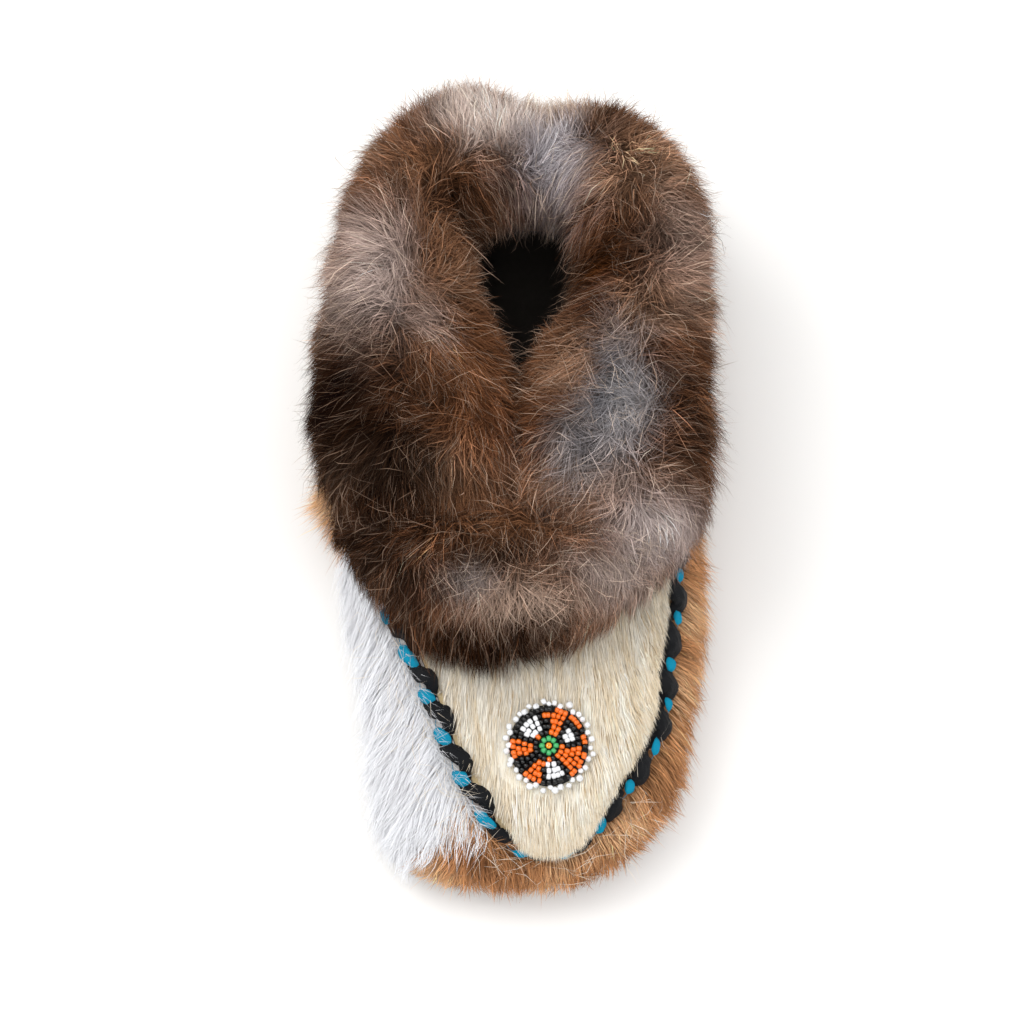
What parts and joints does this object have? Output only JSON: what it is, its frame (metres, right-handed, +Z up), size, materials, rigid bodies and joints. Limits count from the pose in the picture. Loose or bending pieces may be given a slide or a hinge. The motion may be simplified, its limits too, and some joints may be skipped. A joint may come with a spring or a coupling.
{
  "type": "moccasin slipper",
  "caption": "Left moccasin slipper: hair-on hide side wall, plug vamp with a beaded rosette, twisted braid over the seam, deep fur cuff round the collar and a flat leather sole.",
  "frame": {"origin": "on the floor plane under the middle of the sole, on the sole's flat bottom face", "axes": "+Z up, the toe points to -Y and the heel to +Y, +X is the outer side of the left foot"},
  "size_m": [0.1406, 0.2703, 0.1055],
  "materials": {
    "sole_leather": "suede",
    "insole_felt": "matte",
    "side_hide": "short hair",
    "vamp_hide": "short hair",
    "cuff_fur": "long fur",
    "black_ribbon": "satin",
    "blue_ribbon": "matte",
    "seed_beads": "gloss"
  },
  "bodies": {
    "root": {"sole": "sole_leather", "insole": "insole_felt", "upper": "side_hide", "vamp": "vamp_hide", "fur_cuff": "cuff_fur", "braid_black": "black_ribbon", "braid_blue": "blue_ribbon", "rosette": "seed_beads"}
  },
  "joints": []
}
